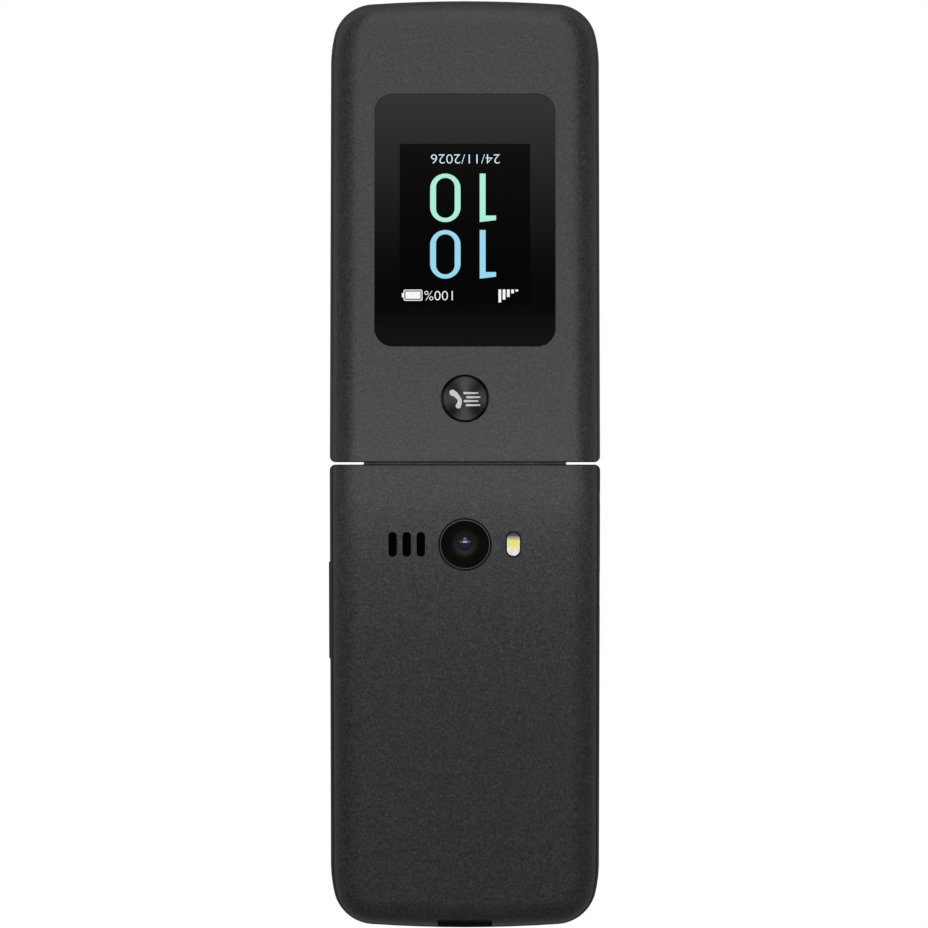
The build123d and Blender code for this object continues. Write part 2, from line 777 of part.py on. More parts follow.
def lid_bezel():
    low = shell_edge + lid_seam
    outer = lid_skin(0, 0, face_edge_radius) & slab(low, 1)
    bezel = outer - (lid_skin(bezel_wall) & slab(2 * lid_back, plate_back))
    for place in lid_screw_places:
        pillar = post(lid_screw_radius + boss_wall, low, plate_back + fit, place)
        bezel += pillar & outer
    pocket = [side + 2 * glass_gap for side in main_glass_size]
    opening = [side + 2 * glass_gap for side in main_display_size[:2]]
    place = (0, main_glass_y)
    seat = lid_face - main_recess - main_glass_thickness
    bezel -= rounded_plate(pocket, main_glass_radius + glass_gap, seat, 1, place)
    bezel -= rounded_plate(opening, 1.0, 2 * lid_back, 1, place)
    bezel -= rounded_plate(earpiece_slot, earpiece_slot[1] / 2 - fit / 2, -far / 2, 1, (0, earpiece_y))
    for place in bumper_places:
        bezel -= post(bumper_radius + running_fit, lid_face - bumper_seat, 1, place)
    for place in lid_screw_places:
        bezel -= post(lid_screw_radius + fit, 2 * lid_back, 1, place)
        bezel -= post(lid_screw_head_radius + fit, lid_face - lid_screw_head_depth - fit, 1, place)
    bezel += centre_knuckle(barrel_radius)
    bezel -= rod(hinge_bore_radius, -barrel_half, barrel_half)
    slot_x = (flex_x - flex_width / 2 - fit, flex_x + flex_width / 2 + fit)
    slot_z = (-flex_coil_radius - fit, -flex_coil_radius + flex_thickness + fit)
    bezel -= span_box(slot_x, (0, barrel_radius + 1), slot_z)
    return bezel - outer_knuckles(barrel_radius + barrel_clearance, knuckle_gap)


def outer_glass():
    low = lid_back + glass_recess
    place = (0, outer_glass_y)
    high = low + outer_glass_thickness
    return rounded_plate(outer_glass_size, outer_glass_radius, low, high, place)


def outer_display():
    low = lid_back + glass_recess + outer_glass_thickness + fit / 2
    return centred_box(outer_display_size, (0, outer_display_y, low + outer_display_size[2] / 2))


def main_glass():
    high = lid_face - main_recess
    low = high - main_glass_thickness
    return rounded_plate(main_glass_size, main_glass_radius, low, high, (0, main_glass_y))


def display_back():
    return lid_face - main_recess - main_glass_thickness - fit / 2 - main_display_size[2]


def main_display():
    middle = display_back() + main_display_size[2] / 2
    return rounded_plate(main_display_size[:2], 0.8, display_back(), 2 * middle - display_back(),
                         (0, main_glass_y))


def lid_board():
    high = display_back() - board_below_display
    low = high - lid_board_size[2]
    board = centred_box(lid_board_size, (0, lid_board_y, (low + high) / 2))
    return board + centred_box(switch_size, (0, button_y, low - switch_size[2] / 2 + fit / 2))


def earpiece():
    high = plate_back - fit / 2
    return rounded_plate(earpiece_size[:2], 2.0, high - earpiece_size[2], high, (0, earpiece_y))


def earpiece_mesh():
    size = [side - fit for side in earpiece_slot]
    high = lid_face - 0.25
    return rounded_plate(size, size[1] / 2 - fit / 2, plate_back, high, (0, earpiece_y))


def lid_bumpers():
    pads = []
    for place in bumper_places:
        pad = post(bumper_radius, lid_face - bumper_seat, lid_face + bumper_proud, place)
        rim = edges_at(pad, Axis.Z, lid_face + bumper_proud)
        pads.append(fillet(rim, bumper_proud * 0.8))
    return Compound(pads)


def lid_screws():
    seat = lid_face - fit
    low = seat - lid_screw_head_depth
    return Compound([
        screw(lid_screw_radius, lid_screw_head_radius, lid_screw_head_depth,
              low, seat, low - lid_screw_length, place, flip=True)
        for place in lid_screw_places])


def lid_magnet():
    high = plate_back - fit / 2
    return centred_box(magnet_size, (*magnet_place, high - magnet_size[2] / 2))


def hinge_cartridge():
    outer = centre_half - knuckle_gap / 2
    can = rod(hinge_bore_radius - 0.02, outer - cartridge_length, outer)
    return can - rod(shaft_radius + running_fit, outer - shaft_engagement, outer + 1)


def display_flex():
    span = (flex_x - flex_width / 2, flex_x + flex_width / 2)
    coil = rod(flex_coil_radius, *span) - rod(flex_coil_radius - flex_thickness, *span)
    low = -flex_coil_radius
    board_edge = lid_board_ends[0]
    tongue = span_box(span, (0, board_edge + 1), (low, low + flex_thickness))
    board_face = display_back() - board_below_display
    drop = span_box(span, (board_edge + 1 - flex_thickness, board_edge + 1), (board_face, low + fit))
    return coil + tongue + drop


def outer_button():
    low = lid_back - button_proud
    place = (0, button_y)
    guide = lid_back + button_guide_depth
    cap = post(button_radius, low, guide + button_flange, place)
    rim = edges_at(cap, Axis.Z, low)
    cap = fillet(rim, 0.35)
    dish = Pos(0, button_y, low - button_dish_radius + button_dish_depth) * Sphere(button_dish_radius)
    cap -= dish
    return cap + post(button_flange_radius, guide + running_fit, guide + button_flange, place)


base_pieces = {
    "back_cover": back_cover, "rear_frame": rear_frame, "front_housing": front_housing,
    "main_board": main_board, "key_domes": key_domes, "shield_cans": shield_cans,
    "battery": battery, "battery_contacts": battery_contacts, "sim_holder": sim_holder,
    "camera_ring": camera_ring, "camera_window": camera_window, "rear_camera": rear_camera,
    "flash_lens": flash_lens, "flash_led": flash_led, "speaker_mesh": speaker_mesh,
    "loudspeaker": loudspeaker, "usb_port": usb_port, "audio_jack": audio_jack,
    "microphone": microphone, "vibration_motor": vibration_motor,
    "housing_screws": housing_screws, "hinge_sleeve": hinge_sleeve, "hinge_shaft": hinge_shaft,
    "nav_ring": nav_ring, "nav_rocker": nav_rocker, "ok_key": ok_key, "volume_key": volume_key,
}
lid_pieces = {
    "lid_shell": lid_shell, "lid_bezel": lid_bezel, "outer_glass": outer_glass,
    "outer_display": outer_display, "main_glass": main_glass, "main_display": main_display,
    "lid_board": lid_board, "earpiece": earpiece, "earpiece_mesh": earpiece_mesh,
    "lid_bumpers": lid_bumpers, "lid_screws": lid_screws, "lid_magnet": lid_magnet,
    "hinge_cartridge": hinge_cartridge, "display_flex": display_flex,
    "outer_button": outer_button,
}

for node, make in base_pieces.items():
    save(make(), node)
for node, centre, size in key_places():
    save(key(centre, size), node)
for node, make in lid_pieces.items():
    save(on_lid(make()), node)
print("wrote", len(base_pieces) + len(key_places()) + len(lid_pieces), "nodes")
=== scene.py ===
import bpy
import json
import math
import numpy as np
from mathutils import Matrix, Vector


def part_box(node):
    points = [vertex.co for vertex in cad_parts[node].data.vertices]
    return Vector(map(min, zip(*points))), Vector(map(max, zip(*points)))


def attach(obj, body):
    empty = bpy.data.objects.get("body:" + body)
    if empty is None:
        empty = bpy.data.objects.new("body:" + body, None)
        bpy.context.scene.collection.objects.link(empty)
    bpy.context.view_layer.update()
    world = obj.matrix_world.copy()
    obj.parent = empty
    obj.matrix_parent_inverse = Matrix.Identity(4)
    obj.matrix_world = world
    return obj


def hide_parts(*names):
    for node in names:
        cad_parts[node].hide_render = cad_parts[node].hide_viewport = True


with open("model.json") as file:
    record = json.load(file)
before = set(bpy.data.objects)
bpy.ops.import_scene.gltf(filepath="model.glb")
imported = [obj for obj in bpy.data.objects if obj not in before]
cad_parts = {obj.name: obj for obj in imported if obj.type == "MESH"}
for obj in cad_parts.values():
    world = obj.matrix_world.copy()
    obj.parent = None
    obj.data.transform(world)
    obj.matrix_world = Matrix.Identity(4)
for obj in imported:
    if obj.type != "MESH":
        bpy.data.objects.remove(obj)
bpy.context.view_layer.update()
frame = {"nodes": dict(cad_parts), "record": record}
mm = 0.001

# The hinge and the lid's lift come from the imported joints. Distances below are millimetres.
hinge = next(j for j in frame["record"]["behaviour"]["joints"] if j["name"] == "lid_hinge")
hingeAt = np.array(hinge["pos_m"]) / mm
lidTilt = math.radians(180 - hinge["range_deg"][1])
lidBack = -7.85  # the lid's outer face, in the lid's own frame
lidBodies = ("lid", "outer_button")  # their pieces are given in the lid's own frame
cameraAt = (0.0, hingeAt[1] - 15.9, 0.0)  # middle of the row of speaker slots, camera and flash
origin = (0.0, 0.0, 0.0)
farEnd = -hingeAt[1]

# Directions: across the phone, along the base and into it, along the lid and into it, and halfway.
across, baseUp, baseInward = (1, 0, 0), (0, 1, 0), (0, 0, 1)
lidUp = (0, math.cos(lidTilt), math.sin(lidTilt))
lidInward = (0, -lidUp[2], lidUp[1])
viewUp = (0, math.cos(lidTilt / 2), math.sin(lidTilt / 2))
viewInward = (0, -viewUp[2], viewUp[1])


def lidPlace(points):
    # Lid frame: x across, y away from the hinge axis, z out of the inner face, turned by the lift.
    x, y, z = np.asarray(points, float).reshape(-1, 3).T
    turnedY = hingeAt[1] + y * math.cos(lidTilt) - z * math.sin(lidTilt)
    turnedZ = hingeAt[2] + y * math.sin(lidTilt) + z * math.cos(lidTilt)
    return np.stack([x, turnedY, turnedZ], axis=1)


def bodyPlace(points, body):
    return lidPlace(points) if body in lidBodies else points


class Value:
    # A socket that takes part in arithmetic: Value(tree, socket) * 2 + 1 adds Math nodes.
    def __init__(self, tree, socket):
        self.tree, self.socket = tree, socket

    def math(self, operation, other=None, clamp=False):
        node = self.tree.nodes.new("ShaderNodeMath")
        node.operation, node.use_clamp = operation, clamp
        for slot, item in enumerate((self, other)):
            if item is not None:
                feed(self.tree, node.inputs[slot], item)
        return Value(self.tree, node.outputs[0])

    def __add__(self, other):
        return self.math("ADD", other)

    def __sub__(self, other):
        return self.math("SUBTRACT", other)

    def __rsub__(self, other):
        return self.math("MULTIPLY", -1.0).math("ADD", other)

    def __mul__(self, other):
        return self.math("MULTIPLY", other)

    def __gt__(self, other):
        return self.math("GREATER_THAN", other)

    def __lt__(self, other):
        return self.math("LESS_THAN", other)

    def __abs__(self):
        return self.math("ABSOLUTE")

    def clamped(self):
        return self.math("ADD", 0.0, clamp=True)

    def bell(self, width):
        # 1 where the value is 0, falling to 1/e at the width.
        return (self * self * (-1.0 / width ** 2)).math("EXPONENT")

    def rising(self, start, end):
        # 0 before the start, 1 past the end, straight between them.
        return ((self - start) * (1 / (end - start))).clamped()

    __radd__ = __add__
    __rmul__ = __mul__


def rootOfSquares(x, y):
    return (x * x + y * y).math("POWER", 0.5)


def feed(tree, target, item):
    # A socket takes a link, a colour or a plain value.
    if isinstance(item, Value):
        tree.links.new(item.socket, target)
    elif target.type == "RGBA":
        target.default_value = (*item[:3], 1.0)
    else:
        target.default_value = item


class Nodes:
    # A node tree with one way to add a node.
    def __init__(self, tree):
        self.tree = tree

    def node(self, kind, settings=None, inputs=None, output=0):
        made = self.tree.nodes.new(kind)
        for key, item in (settings or {}).items():
            setattr(made, key, item)
        for key, item in (inputs or {}).items():
            feed(self.tree, made.inputs[key], item)
        return Value(self.tree, made.outputs[output]) if made.outputs else None

    def blend(self, factor, low, high):
        return self.node("ShaderNodeMix", {"data_type": "RGBA"}, {0: factor, 6: low, 7: high}, 2)

    def shaderMix(self, factor, low, high):
        return self.node("ShaderNodeMixShader", {}, {0: factor, 1: low, 2: high})


class Surface(Nodes):
    # A material with one Principled shader. Patterns read the piece's own coordinates.
    def __init__(self, name, color, roughness=0.5, metallic=0.0, **sockets):
        self.material = bpy.data.materials.new(name)
        self.material.use_nodes = True
        super().__init__(self.material.node_tree)
        self.shader = self.tree.nodes["Principled BSDF"]
        self.set("Base Color", color)
        self.set("Roughness", roughness)
        self.set("Metallic", metallic)
        for key, item in sockets.items():
            self.set(key.replace("_", " "), item)
        self.material.diffuse_color = (*color[:3], 1.0)

    def set(self, socket, item):
        feed(self.tree, self.shader.inputs[socket], item)

    def where(self):
        return self.node("ShaderNodeTexCoord", output="Object")

    def along(self, point, direction):
        # Millimetres from a point in one direction.
        start = tuple(float(c) * mm for c in point)
        moved = self.node("ShaderNodeVectorMath", {"operation": "SUBTRACT"}, {0: self.where(), 1: start})
        return self.node("ShaderNodeVectorMath", {"operation": "DOT_PRODUCT"},
                         {0: moved, 1: direction}, "Value") * (1 / mm)

    def plan(self, point, up):
        # Millimetres from a point across the phone, and up the base or the lid.
        return self.along(point, across), self.along(point, up)

    def noise(self, scale, detail=3.0, stretch=(1, 1, 1)):
        placed = self.node("ShaderNodeMapping", {}, {"Vector": self.where(), "Scale": stretch})
        return self.node("ShaderNodeTexNoise", {}, {"Vector": placed, "Scale": scale, "Detail": detail})

    def cells(self, scale):
        # A random number for each small cell.
        cell = self.node("ShaderNodeTexVoronoi", {}, {"Vector": self.where(), "Scale": scale}, "Color")
        return self.node("ShaderNodeSeparateColor", {}, {"Color": cell}, "Red")

    def bump(self, height, strength, distance):
        self.set("Normal", self.node("ShaderNodeBump", {}, {
            "Height": height, "Strength": strength, "Distance": distance}))


def link(thing):
    bpy.context.scene.collection.objects.link(thing)


def addPiece(name, points, faces, surface, body, smooth=True):
    # Points in millimetres, in the lid's frame for a piece of the lid. The object stays at the origin.
    points = np.asarray(points, float).reshape(-1, 3)
    mesh = bpy.data.meshes.new(name)
    mesh.from_pydata((bodyPlace(points, body) * mm).tolist(), [], faces)
    mesh.validate()
    mesh.polygons.foreach_set("use_smooth", [smooth] * len(mesh.polygons))
    mesh.materials.append(surface.material)
    turnOutward(mesh)
    return enter(name, mesh, body)


def enter(name, mesh, body):
    piece = bpy.data.objects.new(name, mesh)
    link(piece)
    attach(piece, body)
    return piece


def meshPoints(mesh):
    flat = np.empty(len(mesh.vertices) * 3)
    mesh.vertices.foreach_get("co", flat)
    return flat.reshape(-1, 3)


def turnOutward(mesh):
    # A closed shell whose signed volume is negative is inside out: volume = sum of a . (b x c) / 6.
    points = meshPoints(mesh)
    mesh.calc_loop_triangles()
    corners = np.empty(len(mesh.loop_triangles) * 3, int)
    mesh.loop_triangles.foreach_get("vertices", corners)
    a, b, c = (points - points.mean(axis=0))[corners.reshape(-1, 3)].transpose(1, 0, 2)
    if np.einsum("ij,ij->i", a, np.cross(b, c)).sum() < 0:
        mesh.flip_normals()


def gridFaces(rows, columns, loop=False):
    # Quads of a grid whose columns close on themselves, and with loop its rows too.
    row, column = np.meshgrid(np.arange(rows if loop else rows - 1), np.arange(columns), indexing="ij")
    row, column = row.ravel(), column.ravel()
    after, below = (column + 1) % columns, (row + 1) % rows
    return np.stack([row * columns + column, row * columns + after,
                     below * columns + after, below * columns + column], axis=1).tolist()


def ringStack(name, rings, surface, body, smooth=True, loop=False):
    # A stack of equal rings of points: closed by a flat face at each end, or the last joined to the first.
    rings = np.asarray(rings, float)
    rows, columns = rings.shape[:2]
    faces = gridFaces(rows, columns, loop)
    if not loop:
        faces += [list(range(columns))[::-1], list(range((rows - 1) * columns, rows * columns))]
    return addPiece(name, rings, faces, surface, body, smooth)


def lathe(name, profile, centre, surface, body, loop=True, count=72, smooth=True):
    # One circle for each (radius, height) of the profile.
    turn = np.linspace(0, 2 * math.pi, count, endpoint=False)
    circle = np.stack([np.cos(turn), np.sin(turn)], axis=1)
    rings = [np.column_stack([circle * radius + centre, np.full(count, height)])
             for radius, height in profile]
    return ringStack(name, rings, surface, body, smooth, loop)


def roundedPath(size, corner, count=12):
    # A rectangle whose corners are quarter circles of count steps, centred on the origin.
    halfX, halfY = size[0] / 2, size[1] / 2
    turn = np.linspace(0, math.pi / 2, count)
    arc = np.stack([np.cos(turn), np.sin(turn)], axis=1) * corner
    quarter = np.array([[0.0, 1.0], [-1.0, 0.0]])
    path = []
    for sx, sy in ((1, 1), (-1, 1), (-1, -1), (1, -1)):
        path.append(arc + [sx * (halfX - corner), sy * (halfY - corner)])
        arc = arc @ quarter
    return np.concatenate(path)


def flatSign(name, outline, low, high, surface, body, hole=None):
    # An outline with a small thickness, or the band between it and a hole with as many points.
    outline = np.asarray(outline, float)
    loops = [(outline, low), (outline, high)]
    if hole is not None:
        loops += [(np.asarray(hole, float), high), (np.asarray(hole, float), low)]
    rings = [np.column_stack([path, np.full(len(path), z)]) for path, z in loops]
    return ringStack(name, rings, surface, body, False, hole is not None)


def pathForward(path):
    # Unit steps along a path.
    forward = np.gradient(path, axis=0)
    return forward / np.linalg.norm(forward, axis=1, keepdims=True)


def sideways(forward, reach):
    # Each step turned a quarter to the left, as long as its reach.
    return np.stack([-forward[:, 1], forward[:, 0]], axis=1) * reach[:, None]


def strokeOutline(path, widths, capSteps=9):
    # A stroke with round ends: the path moved sideways by half its width, both ways.
    path, half = np.asarray(path, float), np.asarray(widths, float) / 2
    forward = pathForward(path)
    side = sideways(forward, half)
    turn = np.linspace(0, math.pi, capSteps)[1:-1, None]

    def endCap(centre, away, radius):
        aside = np.array([away[1], -away[0]])
        return centre + radius * (np.cos(turn) * -aside + np.sin(turn) * away)
    start = endCap(path[0], -forward[0], half[0])
    finish = endCap(path[-1], forward[-1], half[-1])
    return np.concatenate([path + side, finish, (path - side)[::-1], start])


def spun(points, turn):
    # Plan points turned about the origin.
    cos, sin = math.cos(turn), math.sin(turn)
    return np.asarray(points, float) @ np.array([[cos, sin], [-sin, cos]])


def words(name, text, size, place, surface, body, thickness=0.012, thinner=0.0, outerFace=False):
    # Signs made into a mesh, then scaled and placed by their middle. size is the width and height,
    # and one of them may be None. thinner moves the letters' outline, as a share of the font's size.
    curve = bpy.data.curves.new(name, "FONT")
    curve.body, curve.extrude, curve.resolution_u, curve.offset = text, thickness / 2, 4, thinner
    temporary = bpy.data.objects.new(name + "Curve", curve)
    link(temporary)
    graph = bpy.context.evaluated_depsgraph_get()
    mesh = bpy.data.meshes.new_from_object(temporary.evaluated_get(graph))
    bpy.data.objects.remove(temporary)
    points = meshPoints(mesh)
    low, high = points.min(axis=0), points.max(axis=0)
    points -= (low + high) / 2
    points[:, :2] *= [want / have for want, have in zip(size, high - low) if want]
    if outerFace:
        points[:, 1:] *= -1.0  # half a turn about x, to be read from outside
    points += place
    mesh.vertices.foreach_set("co", (bodyPlace(points, body) * mm).ravel())
    mesh.update()
    mesh.materials.clear()
    mesh.materials.append(surface.material)
    return enter(name, mesh, body)


# Painted shade: where the shells are painted black for the shade in the walls of their openings, their seams
# and their hinge ends, and the width of a painted highlight along the hinge barrel.
darkPlaces = {
    "hingeEnd": 0.47, "barrelHighlightWidth": 0.16, "seamFrom": 3.45, "lidSeamFrom": -3.75,
    "rowHalf": (16.0, 6.0), "rowFrom": 0.12, "cameraRound": 5.78,
    "flashX": -10.4, "flashAxis": 1.125, "flashRound": 1.76,
    "notchHalf": 5.9, "notchEnd": farEnd + 3.6, "notchFrom": 1.22, "frameNotchTo": 4.3,
}


# Painted shade at the hinge ends, for the shadow in the gap round the barrel.
def hingeEndMask(made):
    return abs(made.along(hingeAt, viewUp)) < darkPlaces["hingeEnd"]


def barrelMask(made):
    # The strip of the hinge barrel that shows between the two outer shells: painted shade, with a painted
    # highlight along its middle.
    return hingeEndMask(made) * (made.along(hingeAt, viewInward) < 0.0)


def shellMask(made):
    # Painted shade: the hinge end, and the last of the lid shell's wall at the seam, painted black.
    seam = made.along(hingeAt, lidInward) > darkPlaces["lidSeamFrom"]
    return (hingeEndMask(made) + seam).clamped()


def notchMask(made):
    # Painted shade: the fingernail notch at the base's far end, painted black.
    d = darkPlaces
    (x, y), depth = made.plan(origin, baseUp), made.along(origin, baseInward)
    return (abs(x) < d["notchHalf"]) * (y < d["notchEnd"]) * (depth > d["notchFrom"])


def pillDistance(made):
    # Millimetres from the flash's long axis: root of x squared + (|y| - half the axis, or 0) squared.
    x = made.along((darkPlaces["flashX"], 0, 0), across)
    y = abs(made.along(cameraAt, baseUp)) - darkPlaces["flashAxis"]
    return rootOfSquares(x, y.math("MAXIMUM", 0.0))


def coverMask(made):
    # Painted shade, painted black: the holes of the camera row, a line round camera and flash, the seam, the
    # notch, the hinge end.
    d = darkPlaces
    (x, y), depth = made.plan(cameraAt, baseUp), made.along(origin, baseInward)
    holes = (abs(x) < d["rowHalf"][0]) * (abs(y) < d["rowHalf"][1]) * (depth > d["rowFrom"])
    lines = (rootOfSquares(x, y) < d["cameraRound"]) + (pillDistance(made) < d["flashRound"])
    return (holes + lines + (depth > d["seamFrom"]) + notchMask(made) + hingeEndMask(made)).clamped()


# Painted shade on the frame: the notch and the hinge end, painted black.
def frameMask(made):
    notch = notchMask(made) * (made.along(origin, baseInward) < darkPlaces["frameNotchTo"])
    return (notch + hingeEndMask(made)).clamped()


def shade(color, share):
    return [part * share for part in color]


def grey(tone):
    return (tone, tone, tone)


# Patterns of the finishes: scales for a metre, shares of the finish's own colour, depths in metres.
fleckPattern = {
    "cells": 3300.0, "clouds": 900.0, "cellTone": 0.6, "cloudTone": 0.2, "brightFrom": 0.97, "bright": 0.3,
    "darkest": 0.2, "palest": 1.84, "shadeBlack": 0.002, "roughSpread": 0.08, "roughMasked": 0.4,
    "cellHeight": 0.6, "cloudHeight": 0.4, "bump": 0.2, "depth": 0.00001,
}
mouldPattern = {"darkest": 0.8, "palest": 1.25, "shadeBlack": 0.001, "roughSpread": 0.16, "roughMasked": 0.5,
                "depth": 0.00002}
brushPattern = {"lines": 300.0, "detail": 4.0, "stretch": (1.0, 40.0, 40.0), "darkest": 0.8, "palest": 1.15,
                "roughSpread": 0.2, "bump": 0.1, "depth": 0.00001}
glassPattern = {"color": (0.0016, 0.0016, 0.0018), "clouds": 120.0, "detail": 2.0, "roughSpread": 0.03}


def metalFleck(name, color, roughness, mask):
    # Satin coating with metal flecks: tone = cells 0.3 mm across + clouds + a few bright cells.
    f = fleckPattern
    made = Surface(name, color, roughness)
    cell, cloud, dark = made.cells(f["cells"]), made.noise(f["clouds"]), mask(made)
    bright = (cell > f["brightFrom"]) * f["bright"]
    tone = ((cell - 0.5) * f["cellTone"] + (cloud - 0.5) * f["cloudTone"] + bright + 0.5).clamped()
    coat = made.blend(tone, shade(color, f["darkest"]), shade(color, f["palest"]))
    # The mask is painted shade: black where openings, seams and hinge ends lie in shade.
    made.set("Base Color", made.blend(dark, coat, grey(f["shadeBlack"])))
    made.set("Roughness", (cell - 0.5) * f["roughSpread"] + roughness + dark * f["roughMasked"])
    made.bump(cell * f["cellHeight"] + cloud * f["cloudHeight"], f["bump"], f["depth"])
    return made


def moulded(name, color, roughness, grain=2600.0, strength=0.15, mask=None, highlightTone=0.001, **sockets):
    # Spark-eroded plastic: a fine grain in tone and height. A mask paints shade black, with a painted
    # highlight
    # along the hinge: black + (highlight - black) x bell of the distance from the hinge.
    m = mouldPattern
    made = Surface(name, color, roughness, **sockets)
    fine = made.noise(grain)
    tone = made.blend(fine, shade(color, m["darkest"]), shade(color, m["palest"]))
    spread = fine * m["roughSpread"] + (roughness - m["roughSpread"] / 2)
    if mask:
        dark = mask(made)
        line = made.along(hingeAt, viewUp).bell(darkPlaces["barrelHighlightWidth"])
        tone = made.blend(dark, tone, made.blend(line, grey(m["shadeBlack"]), grey(highlightTone)))
        spread = (spread + dark * m["roughMasked"]).clamped()
    made.set("Base Color", tone)
    made.set("Roughness", spread)
    made.bump(fine, strength, m["depth"])
    return made


def printedSign(name, color, roughness=0.45):
    return moulded(name, color, roughness, 1500.0, 0.03)


def brushed(name, color, roughness):
    # Fine lines across the phone: noise stretched on that axis.
    b = brushPattern
    made = Surface(name, color, roughness, 1.0)
    lines = made.noise(b["lines"], b["detail"], b["stretch"])
    made.set("Base Color", made.blend(lines, shade(color, b["darkest"]), shade(color, b["palest"])))
    made.set("Roughness", lines * b["roughSpread"] + (roughness - b["roughSpread"] / 2))
    made.bump(lines, b["bump"], b["depth"])
    return made


def glow(name, color):
    # A lit sign: it shines in its own colour and mirrors nothing.
    return Surface(name, grey(0.0), 0.4, Specular_IOR_Level=0.0, Emission_Color=color, Emission_Strength=1.0)


def blackGlass(name, specular=0.5, roughness=0.06):
    # Printed glass: faint clouding of the polish is all that varies.
    g = glassPattern
    made = Surface(name, g["color"], roughness, Specular_IOR_Level=specular)
    made.set("Roughness", made.noise(g["clouds"], g["detail"]) * g["roughSpread"]
             + (roughness - g["roughSpread"] / 2))
    return made


shellColor = (0.040, 0.0415, 0.045)
finishes = {
    # Painted light: the cover is the shell's coating made a tenth paler, to lift its brightness under these
    # lamps.
    "cover": metalFleck("coverSatin", shade(shellColor, 1.1), 0.42, coverMask),
    "shell": metalFleck("shellSatin", shellColor, 0.42, shellMask),
    # Bezel and keypad paint the barrel's strip black as shade, with a painted highlight of 0.7 along its
    # middle.
    "bezel": moulded("bezelGloss", (0.012, 0.012, 0.0135), 0.32, 1800.0, 0.04, barrelMask, 0.7),
    "frame": moulded("frameBlack", (0.018, 0.018, 0.02), 0.45, mask=frameMask),
    "keypad": moulded("keypadFace", (0.022, 0.0225, 0.025), 0.5, mask=barrelMask, highlightTone=0.7),
    "key": moulded("keyCap", (0.034, 0.035, 0.038), 0.38, 3200.0, 0.1),
    "nav": brushed("navRing", (0.16, 0.165, 0.175), 0.36),
    "steel": brushed("plainSteel", (0.55, 0.55, 0.56), 0.32),
    "gold": brushed("goldPlate", (0.8, 0.58, 0.25), 0.28),
    "black": moulded("innerBlack", (0.008, 0.008, 0.009), 0.5),
    "board": moulded("boardMask", (0.01, 0.07, 0.045), 0.35, 900.0, 0.05),
    "wrap": moulded("batteryWrap", (0.09, 0.092, 0.1), 0.45),
    "rubber": moulded("bumperRubber", (0.02, 0.02, 0.02), 0.7),
    "mesh": moulded("meshCloth", (0.0015, 0.0015, 0.0016), 0.9, 6000.0, 0.5, Specular_IOR_Level=0.0),
    "flex": moulded("flexFilm", (0.4, 0.17, 0.03), 0.35),
    "led": moulded("ledPhosphor", (0.9, 0.8, 0.12), 0.5),
    "glass": blackGlass("printedGlass"),
    "panel": blackGlass("panelBlack", 0.1, 0.1),
    "sign": printedSign("paleSign", (0.62, 0.63, 0.65)),
    "print": printedSign("palePrint", (0.86, 0.87, 0.88), 0.5),
    "callSign": printedSign("greenSign", (0.04, 0.52, 0.13)),
    "endSign": printedSign("redSign", (0.6, 0.035, 0.03)),
    "mint": glow("mintLight", (0.43, 0.85, 0.68)),
    "blue": glow("blueLight", (0.33, 0.68, 0.85)),
    "ice": glow("iceLight", (0.68, 0.86, 0.95)),
    "white": glow("whiteLight", (0.9, 0.92, 0.93)),
}


def dressNode(node, surface):
    for slot in frame["nodes"][node].material_slots:
        slot.material = surface.material


def dressNodes():
    # The CAD nodes that take one of the finishes. Button, camera ring and flash have their own below.
    finishOf = {
        "cover": ["back_cover"],
        "shell": ["lid_shell", "volume_key"],
        "bezel": ["lid_bezel"],
        "frame": ["rear_frame"],
        "keypad": ["front_housing"],
        "nav": ["nav_ring"],
        "steel": ["shield_cans", "sim_holder", "usb_port", "microphone", "vibration_motor",
                  "housing_screws", "hinge_sleeve", "hinge_shaft", "lid_screws", "lid_magnet",
                  "hinge_cartridge", "key_domes", "nav_rocker"],
        "gold": ["battery_contacts"],
        "black": ["rear_camera", "loudspeaker", "audio_jack", "earpiece", "main_display",
                  "outer_display"],
        "board": ["main_board", "lid_board"],
        "wrap": ["battery"],
        "rubber": ["lid_bumpers"],
        "mesh": ["speaker_mesh", "earpiece_mesh"],
        "flex": ["display_flex"],
        "led": ["flash_led"],
        "glass": ["outer_glass", "main_glass"],
        "key": [n for n in frame["nodes"] if n.startswith("key_") and n != "key_domes"]
        + ["call_key", "clear_key", "end_key", "soft_key_left", "soft_key_right", "ok_key"],
    }
    for finish, nodes in finishOf.items():
        for node in nodes:
            dressNode(node, finishes[finish])
    print("dressed", sum(map(len, finishOf.values())), "CAD nodes")


# Outer display: the picture lies on the glass, and reads with the hinge at its top.
outerScreen = {
    "centre": 51.12, "lit": (28.2, 35.3), "litCorner": 0.02, "face": lidBack + 0.05,
    "thickness": 0.02, "sunk": 0.005,
    "digit": (6.56, 10.7), "stroke": 1.27, "endStroke": 0.94, "curveSteps": 16, "flag": 2.25,
    "flagEnds": (0.44, 1.45), "zeroX": 4.23, "oneX": -3.82, "mintY": -5.72, "blueY": 6.72,
    "dateAt": (-0.1, -14.3), "date": (14.9, 2.05), "thinner": -0.012, "barY": 15.7,
    "percentAt": (5.68, 15.8), "percent": (6.1, 2.05),
    "batteryX": 11.2, "battery": (4.1, 2.45), "batteryWall": 0.2, "batteryCorners": (0.4, 0.3),
    "chargeInset": 0.425, "chargeCorner": 0.1, "nub": (0.35, 0.9),
    "signalX": -11.17, "signalStep": 0.915, "signalWidth": 0.6, "signalFoot": -1.25,
    "signalHeights": (0.44, 0.84, 1.64, 2.22, 2.84),
}


def onScreen(path):
    # Screen frame to lid frame: x stays, y is counted back from the screen's centre.
    return np.asarray(path, float) * [1, -1] + [0, outerScreen["centre"]]


